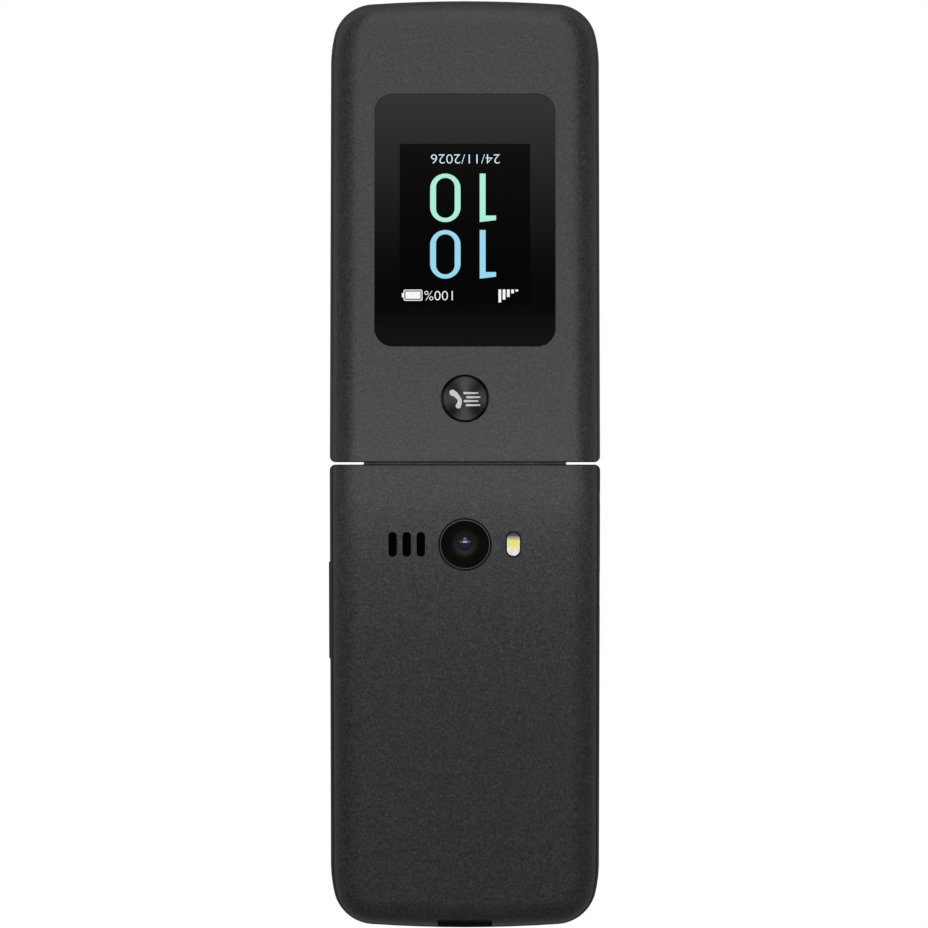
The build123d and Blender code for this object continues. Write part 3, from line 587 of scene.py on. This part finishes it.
def screenSign(name, outline, finish, hole=None):
    s = outerScreen
    hole = None if hole is None else onScreen(hole)
    return flatSign(name, onScreen(outline), s["face"] - s["thickness"], s["face"] + s["sunk"],
                    finishes[finish], "lid", hole)


def screenWords(name, text, size, at, finish):
    s = outerScreen
    place = (*onScreen(at), s["face"] - s["thickness"] / 2)
    words(name, text, size, place, finishes[finish], "lid", s["thickness"], s["thinner"], True)


def rectangle(x, y, width, height):
    return np.array([[x, y], [x + width, y], [x + width, y + height], [x, y + height]])


def digitZero(name, x, y, finish):
    # A tall ring with half circles for ends, thinner at the ends than at the sides.
    s = outerScreen
    width, height = s["digit"]
    inner = (width - 2 * s["stroke"], height - 2 * s["endStroke"])
    outline = roundedPath(s["digit"], width / 2, s["curveSteps"])
    hole = roundedPath(inner, inner[0] / 2, s["curveSteps"])
    screenSign(name, outline + [x, y], finish, hole + [x, y])


def digitOne(name, x, y, finish):
    # A bar whose top slants down to the tip of a flag at its left, straight below.
    s = outerScreen
    top, half = s["digit"][1] / 2, s["stroke"] / 2
    drop, under = s["flagEnds"]
    tip = -half - s["flag"]
    outline = [[half, -top], [half, top], [tip, top - drop], [tip, top - under], [-half, top - under],
               [-half, -top]]
    screenSign(name, np.array(outline) + [x, y], finish)


def buildOuterScreen():
    s = outerScreen
    lit = roundedPath(s["lit"], s["litCorner"]) + [0, s["centre"]]
    flatSign("outerPanel", lit, s["face"] - s["thickness"] / 2, s["face"] + s["sunk"],
             finishes["panel"], "lid")
    for row, finish, y in (("Mint", "mint", s["mintY"]), ("Blue", "blue", s["blueY"])):
        digitZero("zero" + row, s["zeroX"], y, finish)
        digitOne("one" + row, s["oneX"], y, finish)
    buildStatusIcons()
    print("outer screen done")


def buildStatusIcons():
    # Battery and signal bars, date and charge.
    s = outerScreen
    at, size = [s["batteryX"], s["barY"]], np.array(s["battery"])
    outline, hole = (roundedPath(size - 2 * inset, corner) + at
                     for inset, corner in zip((0, s["batteryWall"]), s["batteryCorners"]))
    screenSign("chargeOutline", outline, "white", hole)
    screenSign("charge", roundedPath(size - 2 * s["chargeInset"], s["chargeCorner"]) + at, "white")
    width, height = s["nub"]
    screenSign("chargeNub", rectangle(at[0] + size[0] / 2, at[1] - height / 2, width, height), "white")
    for index, height in enumerate(s["signalHeights"]):
        left = s["signalX"] + index * s["signalStep"] - s["signalWidth"] / 2
        foot = s["barY"] + s["signalFoot"]
        screenSign(f"signalBar{index}", rectangle(left, foot, s["signalWidth"], height), "white")
    screenWords("dateDigits", "24/11/2026", s["date"], s["dateAt"], "ice")
    screenWords("chargeDigits", "100%", s["percent"], s["percentAt"], "white")


# Outer button: its dish, and the handset and list signs printed in it. Each line of the list is the
# x of its two ends and its y.
buttonSign = {
    "centre": 12.8, "dishFloor": -7.6, "dishRadius": 36.0, "proud": 0.015, "buried": 0.02,
    "handset": ((2.67, 1.25), (2.04, 0.90), (1.34, 0.06), (1.10, -0.53), (1.27, -1.25), (1.42, -1.6)),
    "handsetWidths": (1.34, 1.1, 0.88, 0.88, 1.05, 1.17),
    "lines": ((0.1, -2.75, 1.2), (-0.5, -3.16, 0.30), (0.04, -2.75, -0.55), (-0.42, -3.16, -1.45)),
    "lineWidths": (0.52, 0.30), "lineSteps": 9, "capSteps": 8, "capFrom": 0.08, "widthSteps": 6,
    "color": (0.058, 0.059, 0.062), "roughness": 0.34, "roughSpread": 0.2, "darkest": 0.1,
    # cross, middle and fall: the painted sheen across the button and its painted shade towards the far end.
    "rings": 3.2, "ringTone": 0.5, "cross": 0.85, "middle": 0.9, "fall": 0.08, "bump": 0.5, "depth": 0.00002,
}


def spunMetal(name, centre):
    # Turned metal: rings, with a painted sheen up, down and to the sides, and painted shade falling towards
    # the lid's far end.
    # tone = (cross x (1 - (2xy / r squared) squared) + rings) x (middle - fall x y).
    b = buttonSign
    made = Surface(name, b["color"], b["roughness"], 1.0)
    x, y = made.plan(centre, lidUp)
    rings = made.node("ShaderNodeTexNoise", {"noise_dimensions": "1D"},
                      {"W": rootOfSquares(x, y), "Scale": b["rings"], "Detail": 3.0})
    diagonal = (x * y * 2.0).math("DIVIDE", x * x + y * y + 1.0)
    cross = b["cross"] - diagonal * diagonal * b["cross"]
    tone = ((cross + (rings - 0.5) * b["ringTone"]) * (b["middle"] - y * b["fall"])).clamped()
    made.set("Base Color", made.blend(tone, shade(b["color"], b["darkest"]), b["color"]))
    made.set("Roughness", rings * b["roughSpread"] + (b["roughness"] - b["roughSpread"] / 2))
    made.bump(rings, b["bump"], b["depth"])
    return made


def smoothPath(points, count=24):
    # A Catmull-Rom curve through the points, worked out as one array.
    points = np.asarray(points, float)
    padded = np.vstack([2 * points[0] - points[1], points, 2 * points[-1] - points[-2]])
    t = np.linspace(0, len(points) - 1 - 1e-9, count)
    i = t.astype(int)
    u = (t - i)[:, None]
    a, b, c, d = (padded[i + k] for k in range(4))
    return 0.5 * (2 * b + (c - a) * u + (2 * a - 5 * b + 4 * c - d) * u ** 2
                  + (3 * b - a - 3 * c + d) * u ** 3)


def dishRibbon(name, path, widths):
    # A ribbon with round ends laid on the dish: height = floor - distance squared / (2 x radius).
    s = buttonSign
    caps, steps = s["capSteps"], s["widthSteps"]
    path, half = np.asarray(path, float), np.asarray(widths, float) / 2
    forward = pathForward(path)
    turn = np.linspace(s["capFrom"], math.pi / 2, caps)
    before = path[0] - forward[0] * half[0] * np.cos(turn)[:, None]
    beyond = path[-1] + forward[-1] * half[-1] * np.cos(turn)[::-1, None]
    centres = np.concatenate([before, path[1:-1], beyond])
    ways = np.concatenate([np.repeat(forward[:1], caps, 0), forward[1:-1],
                           np.repeat(forward[-1:], caps, 0)])
    halves = np.concatenate([half[0] * np.sin(turn), half[1:-1], half[-1] * np.sin(turn)[::-1]])
    there = np.linspace(-1, 1, steps)
    loop = np.concatenate([there, there[::-1]])
    lift = np.repeat([-s["proud"], s["buried"]], steps)
    plan = centres[:, None] + sideways(ways, halves)[:, None] * loop[None, :, None]
    height = s["dishFloor"] - (plan ** 2).sum(axis=2) / (2 * s["dishRadius"]) + lift
    rings = np.concatenate([plan + [0, s["centre"]], height[..., None]], axis=2)
    ringStack(name, rings, finishes["print"], "outer_button", False)


def buildButton():
    s = buttonSign
    path, widths = smoothPath(s["handset"]), s["handsetWidths"]
    places = np.linspace(0, 1, len(path))
    dishRibbon("handsetSign", path, np.interp(places, np.linspace(0, 1, len(widths)), widths))
    steps = s["lineSteps"]
    for index, (start, end, y) in enumerate(s["lines"]):
        line = np.column_stack([np.linspace(start, end, steps), np.full(steps, y)])
        dishRibbon(f"listSign{index}", line, np.linspace(*s["lineWidths"], steps))
    centre = lidPlace([[0, s["centre"], lidBack]])[0]
    dressNode("outer_button", spunMetal("buttonSpunPaintedSheen", centre))
    print("outer button done")


# Camera: a window with a clear middle, a cone and a domed lens. (radius, height) profiles.
camera = {
    "window": ((4.98, 0.3), (4.98, 0.98), (2.6, 0.98), (2.42, 0.34), (2.46, 0.3)),
    "cone": ((2.41, 0.42), (2.41, 0.97), (1.2, 0.97), (1.2, 0.9), (1.56, 0.86), (2.1, 0.62), (2.34, 0.44)),
    "lensRadius": 1.52, "lensSphere": 2.2, "lensFront": 0.34, "lensBack": 0.98, "lensHole": 0.03,
    "ringLine": (5.3, 0.06), "ringColor": (0.17, 0.17, 0.172), "ringBlack": 0.002,
    "ringRoughness": (0.55, 0.3), "glowFrom": 2.3, "glowTo": 3.5,
    "coneColor": (0.024, 0.017, 0.015), "domeColor": (0.004, 0.010, 0.045),
}


def cameraRingMetal():
    # Black, but for one bright polished line at its radius.
    c = camera
    made = Surface("cameraRing", c["ringColor"], c["ringRoughness"][1], 0.6)
    radius, width = c["ringLine"]
    line = (rootOfSquares(*made.plan(cameraAt, baseUp)) - radius).bell(width)
    rough, polished = c["ringRoughness"]
    made.set("Base Color", made.blend(line, grey(c["ringBlack"]), c["ringColor"]))
    made.set("Roughness", rough - line * (rough - polished))
    return made


def cameraWindowGlass():
    # Black glass with the cone's brown seen round its clear middle: brown = nearness squared.
    c = camera
    made = blackGlass("cameraGlass", 0.25, 0.08)
    near = rootOfSquares(*made.plan(cameraAt, baseUp)).rising(c["glowTo"], c["glowFrom"])
    made.set("Base Color", made.blend(near * near, glassPattern["color"], c["coneColor"]))
    return made


def lensProfile():
    # The front of a sphere: radius = sphere x sin a, height = front + sphere x (1 - cos a).
    c = camera
    turn = np.linspace(0.02, 1, 12) * math.asin(c["lensRadius"] / c["lensSphere"])
    radii, heights = c["lensSphere"] * np.sin(turn), c["lensFront"] + c["lensSphere"] * (1 - np.cos(turn))
    return [*zip(radii, heights), (c["lensRadius"], c["lensBack"]), (c["lensHole"], c["lensBack"])]


def buildCamera():
    c = camera
    centre = cameraAt[:2]
    dressNode("camera_ring", cameraRingMetal())
    window = lathe("cameraWindow", c["window"], centre, cameraWindowGlass(), "base",
                   smooth=False)
    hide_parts("camera_window")
    cone = moulded("lensCone", c["coneColor"], 0.5, 3000.0, 0.05, Specular_IOR_Level=0.12)
    lathe("lensCone", c["cone"], centre, cone, "base")
    dome = Surface("lensDome", c["domeColor"], 0.04, Coat_Weight=1.0, Coat_Roughness=0.02)
    lathe("lensDome", lensProfile(), centre, dome, "base", False, 48)
    print("camera done")


# Flash: a frosted pill with a yellow star seen through it, with painted shade at its hinge end and a painted
# dark rim; its faint glow is painted light.
flash = {
    "color": (0.95, 0.93, 0.92), "between": (0.6, 0.56, 0.56), "starColor": (0.92, 0.84, 0.06),
    "starY": 0.3, "star": (1.35, 1.2), "rays": 8.0, "rayDepth": 0.45, "starDepth": (0.85, 0.5),
    "shade": (0.7, 1.95), "shadeTone": 0.07, "rim": 1.33, "rimFade": 12.0, "rimTone": 0.01, "glow": 0.3,
}


def buildFlash():
    # Rays = (sin(rays x angle) + 1) / 2, and the star is a bell in x and y times the rays.
    f = flash
    # The lens glows in its own tone: painted light.
    made = Surface("flashLens", f["color"], 0.25, Coat_Weight=0.6, Emission_Strength=f["glow"])
    x = made.along((darkPlaces["flashX"], 0, 0), across)
    y = made.along(cameraAt, baseUp)
    up = y - f["starY"]
    rays = (up.math("ARCTAN2", x) * f["rays"]).math("SINE") * 0.5 + 0.5
    low, more = f["starDepth"]
    star = (x.bell(f["star"][0]) * up.bell(f["star"][1]) * (rays * more + low)).clamped()
    rim = ((pillDistance(made) - f["rim"]) * f["rimFade"]).clamped()
    tone = made.blend(rays * f["rayDepth"], f["color"], f["between"])
    tone = made.blend(star, tone, f["starColor"])
    # Painted shade at the hinge end, then the painted dark rim.
    tone = made.blend(y.rising(*f["shade"]), tone, grey(f["shadeTone"]))
    tone = made.blend(rim, tone, grey(f["rimTone"]))
    made.set("Base Color", tone)
    made.set("Emission Color", tone)
    dressNode("flash_lens", made)
    print("flash done")


# Keypad signs: generic numbers, letters and call signs, printed a hair above the key tops.
keySigns = {
    "letters": {"2": "ABC", "3": "DEF", "4": "GHI", "5": "JKL", "6": "MNO", "7": "PQRS", "8": "TUV",
                "9": "WXYZ", "0": "+"},
    "digitHeight": 2.55, "starHeight": 1.53, "letterHeight": 1.2, "plusHeight": 0.84,
    "clearHeight": 2.0, "okHeight": 1.6, "digitX": -2.6, "lettersX": 2.9, "lift": 0.004,
    "handsetArc": (0.18, 0.82), "handset": (2.0, 1.6), "handsetDrop": 1.1, "handsetTurn": 0.5,
    "handsetWaist": 0.75, "handsetEnds": 0.55, "handsetSteps": 15,
    "dash": (1.4, 0.5), "sunk": 0.002, "proud": 0.01,
    "arrow": (0.9, 8.65, 0.8, 0.4),  # half its width, its foot from the ring's middle, its rise, its stroke
}


def keyTop(node):
    # Middle of the top face, in millimetres.
    low, high = (np.array(corner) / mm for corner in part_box(node))
    return np.array([*(low + high)[:2] / 2, high[2]])


def keyWords(name, text, height, node, x=0.0):
    place = keyTop(node) + [x, 0.0, keySigns["lift"]]
    words(name, text, (None, height), place, finishes["sign"], node)


def keyMark(name, outline, node, finish):
    x, y, top = keyTop(node)
    flatSign(name, outline + [x, y], top - keySigns["sunk"], top + keySigns["proud"], finishes[finish],
             node)


def buildKeySigns():
    k = keySigns
    signs = {**{str(n): str(n) for n in range(10)}, "star": "*", "hash": "#"}
    for key, text in signs.items():
        node, small = f"key_{key}", k["letters"].get(key)
        height = k["starHeight"] if key == "star" else k["digitHeight"]
        keyWords(f"sign_{key}", text, height, node, k["digitX"] if small else 0.0)
        if small:
            height = k["plusHeight"] if small == "+" else k["letterHeight"]
            keyWords(f"letters_{key}", small, height, node, k["lettersX"])
    keyWords("clear_keySign", "C", k["clearHeight"], "clear_key")
    keyWords("ok_keySign", "OK", k["okHeight"], "ok_key")
    buildKeyMarks()
    print("keypad signs done")


def buildKeyMarks():
    # Two handsets, the soft keys' dashes and the navigation ring's four arrows.
    k = keySigns
    arc = np.linspace(*np.multiply(k["handsetArc"], math.pi), k["handsetSteps"])
    reach = np.stack([np.cos(arc), np.sin(arc)], axis=1)
    handset = reach * k["handset"] - [0, k["handsetDrop"]]
    widths = k["handsetWaist"] + k["handsetEnds"] * np.abs(np.linspace(-1, 1, len(arc))) ** 3
    for node, finish, turn in (("call_key", "callSign", k["handsetTurn"]), ("end_key", "endSign", 0.0)):
        keyMark(node + "Sign", strokeOutline(spun(handset, turn), widths), node, finish)
    half, stroke = k["dash"]
    for side in ("left", "right"):
        dash = strokeOutline([[-half, 0], [0, 0], [half, 0]], [stroke] * 3)
        keyMark(f"softSign_{side}", dash, f"soft_key_{side}", "sign")
    half, foot, rise, stroke = k["arrow"]
    outer = np.array([[-half, foot], [0, foot + rise], [half, foot]])
    arrow = np.concatenate([outer, outer[::-1] - [0, stroke]])
    for index in range(4):
        keyMark(f"navSign{index}", spun(arrow, index * math.pi / 2), "nav_ring", "sign")


# Main display: a lit picture on the inner glass. Each sign is its name, text, height and y.
mainScreen = {
    "centre": 51.8, "lit": (48.96, 65.28), "corner": 0.3, "face": -0.35, "thickness": 0.02, "sunk": 0.005,
    "lift": 0.003, "low": (0.015, 0.035, 0.07), "high": (0.05, 0.22, 0.32), "fade": (18.0, 80.0),
    "waves": 14.0, "waveStretch": (1.0, 2.5, 1.0), "waveDepth": 0.5, "glow": 0.9,
    "signs": (("mainClock", "10:10", 6.8, 66.0), ("mainDate", "24/11/2026", 2.3, 55.5)),
}


def buildMainScreen():
    # Colour = blend from low to high with the height up the screen + waves.
    s = mainScreen
    panel = Surface("mainPanel", (0.002, 0.002, 0.003), 0.12, Emission_Strength=s["glow"])
    start, end = s["fade"]
    height = panel.along((0, hingeAt[1] + start, 0), baseUp) * (1 / (end - start))
    waves = (panel.noise(s["waves"], 1.0, s["waveStretch"]) - 0.5) * s["waveDepth"]
    panel.set("Emission Color", panel.blend((height + waves).clamped(), s["low"], s["high"]))
    lit = roundedPath(s["lit"], s["corner"]) + [0, s["centre"]]
    top = s["face"] + s["thickness"] / 2
    flatSign("mainPanel", lit, s["face"] - s["sunk"], top, panel, "lid")
    for name, text, height, y in s["signs"]:
        words(name, text, (None, height), (0, y, top + s["lift"]), finishes["white"], "lid")
    print("main screen done")


# Stage and lights, in metres.
floorShape = {"reach": 6.0, "z": -0.0002, "fade": (0.25, 0.8), "tone": 0.82}


def flatPanel(name, xs, ys, z, material):
    # A level rectangle between two x and two y.
    (x0, x1), (y0, y1) = xs, ys
    mesh = bpy.data.meshes.new(name)
    mesh.from_pydata([(x0, y0, z), (x1, y0, z), (x1, y1, z), (x0, y1, z)], [], [(0, 1, 2, 3)])
    mesh.materials.append(material)
    panel = bpy.data.objects.new(name, mesh)
    link(panel)
    return panel


def buildFloor():
    # The floor shows only to camera rays from above: light passes it both ways. It ends in plain white.
    material = bpy.data.materials.new("paleFloor")
    material.use_nodes = True
    material.node_tree.nodes.clear()
    made = Nodes(material.node_tree)
    camera = made.node("ShaderNodeLightPath", output="Is Camera Ray")
    above = 1.0 - made.node("ShaderNodeNewGeometry", output="Backfacing")
    pale = made.node("ShaderNodeBsdfDiffuse", {}, {"Color": grey(floorShape["tone"])})
    white = made.node("ShaderNodeEmission", {}, {"Color": grey(1.0)})
    place = made.node("ShaderNodeNewGeometry", output="Position")
    away = made.node("ShaderNodeVectorMath", {"operation": "LENGTH"}, {0: place}, "Value")
    pale = made.shaderMix(away.rising(*floorShape["fade"]), pale, white)
    shown = made.shaderMix(camera * above, made.node("ShaderNodeBsdfTransparent"), pale)
    made.node("ShaderNodeOutputMaterial", {}, {"Surface": shown})
    sides = (-floorShape["reach"], floorShape["reach"])
    floor = flatPanel("floor", sides, sides, floorShape["z"], material)


lights = {
    # World strength for soft light and for mirror images: below the phone, above it, and the turn
    # from one to the other. Mirror images are dark straight above.
    "soft": (0.03, 0.5, -0.1, 0.4), "mirror": (0.14, 0.42, -0.1, 0.4), "ceiling": (1.0, 0.1, 0.55, 0.9),
    # Softbox under the lid: its near edge fades over the stretch the lid's glass mirrors.
    "softbox": {"x": (-0.22, 0.22), "y": (0.368, 1.0), "z": -0.46, "fade": (0.368, 0.52), "strength": 1.72},
    # name: place, aim, size, watts. The unmirrored ones give soft light alone.
    "lamps": {
        "front": ((0.0, 0.232, -0.666), (0.0, 0.05, 0.01), (0.6, 0.25), 1.8),
        "hinge": ((0.0, 0.0445, -0.026), (0.0, 0.041, 0.0), (0.12, 0.012), 0.0045),
        "tip": ((0.0, 0.75, -0.1), (0.0, 0.147, 0.04), (0.2, 0.5), 0.6),
        "over": ((-0.4, -0.2, 0.95), (0.0, 0.05, 0.0), (0.8, 0.8), 9.0),
        "overFill": ((0.7, 0.5, 0.7), (0.0, 0.05, 0.0), (0.6, 0.6), 3.5),
    },
    "unmirrored": ("over", "overFill"),
}


def buildWorld():
    # White where the camera sees it. Soft light and mirror images get less of it from below.
    world = bpy.data.worlds.new("studio")
    bpy.context.scene.world = world
    world.use_nodes = True
    made = Nodes(world.node_tree)
    paths = {kind: made.node("ShaderNodeLightPath", output=f"Is {kind} Ray")
             for kind in ("Camera", "Glossy", "Transmission")}
    direction = made.node("ShaderNodeTexCoord", output="Generated")
    height = made.node("ShaderNodeSeparateXYZ", {}, {"Vector": direction}, "Z")

    def strengthOf(kind):
        low, high, start, end = lights[kind]
        return low + height.rising(start, end) * (high - low)
    soft, mirror = strengthOf("soft"), strengthOf("mirror") * strengthOf("ceiling")
    mirrored = (paths["Glossy"] + paths["Transmission"]).clamped()
    hidden = soft * (1.0 - mirrored) + mirror * mirrored
    strength = paths["Camera"] + (1.0 - paths["Camera"]) * hidden
    background = world.node_tree.nodes["Background"]
    feed(world.node_tree, background.inputs["Color"], grey(1.0))
    feed(world.node_tree, background.inputs["Strength"], strength)


def buildSoftbox():
    # Strength rises smoothly from the near edge to the full value: 3 rise squared - 2 rise cubed.
    box = lights["softbox"]
    made = Surface("softboxLight", grey(0.0), 1.0, Emission_Strength=box["strength"])
    rise = made.along(origin, baseUp).rising(*(y / mm for y in box["fade"]))
    made.set("Emission Color", made.blend(rise * rise * (3.0 - 2.0 * rise), grey(0.0), grey(1.0)))
    panel = flatPanel("softbox", box["x"], box["y"], box["z"], made.material)
    panel.visible_camera = False


def buildLamps():
    for name, (place, aim, size, watts) in lights["lamps"].items():
        data = bpy.data.lights.new(name, "AREA")
        data.shape, data.size, data.size_y, data.energy = "RECTANGLE", size[0], size[1], watts
        lamp = bpy.data.objects.new(name, data)
        lamp.location = place
        lamp.rotation_mode = "QUATERNION"
        lamp.rotation_quaternion = (Vector(aim) - Vector(place)).to_track_quat("-Z", "Y")
        lamp.visible_camera = False
        lamp.visible_glossy = name not in lights["unmirrored"]
        link(lamp)
    print("stage and lights done")


# The shot: distance in metres, a pixel's size at the hinge, and the hinge's place from the middle in pixels.
shot = {"distance": 1.667, "pixel": 0.0002156, "right": -0.95, "up": -0.6, "sensor": 36.0, "frame": 928,
        "clip": (0.01, 20.0)}


def buildCameraView():
    # The camera looks along the bisector of the open phone, so the hinge gap is seen edge on.
    # lens = sensor x distance / (frame x pixel).
    forward, up = Vector(viewInward), Vector(viewUp)
    right = forward.cross(up)
    data = bpy.data.cameras.new("shot")
    data.sensor_width = shot["sensor"]
    data.lens = shot["sensor"] * shot["distance"] / (shot["frame"] * shot["pixel"])
    data.clip_start, data.clip_end = shot["clip"]
    view = bpy.data.objects.new("shot", data)
    offset = (right * shot["right"] + up * shot["up"]) * shot["pixel"]
    place = Vector(hingeAt * mm) - forward * shot["distance"] + offset
    turn = Matrix((right, up, -forward)).transposed().to_4x4()
    view.matrix_world = Matrix.Translation(place) @ turn
    link(view)
    bpy.context.scene.camera = view


buildCameraView()
buildFloor()
buildWorld()
buildSoftbox()
buildLamps()
dressNodes()
buildOuterScreen()
buildButton()
buildCamera()
buildFlash()
buildKeySigns()
buildMainScreen()

bpy.context.scene.view_settings.view_transform = "Standard"
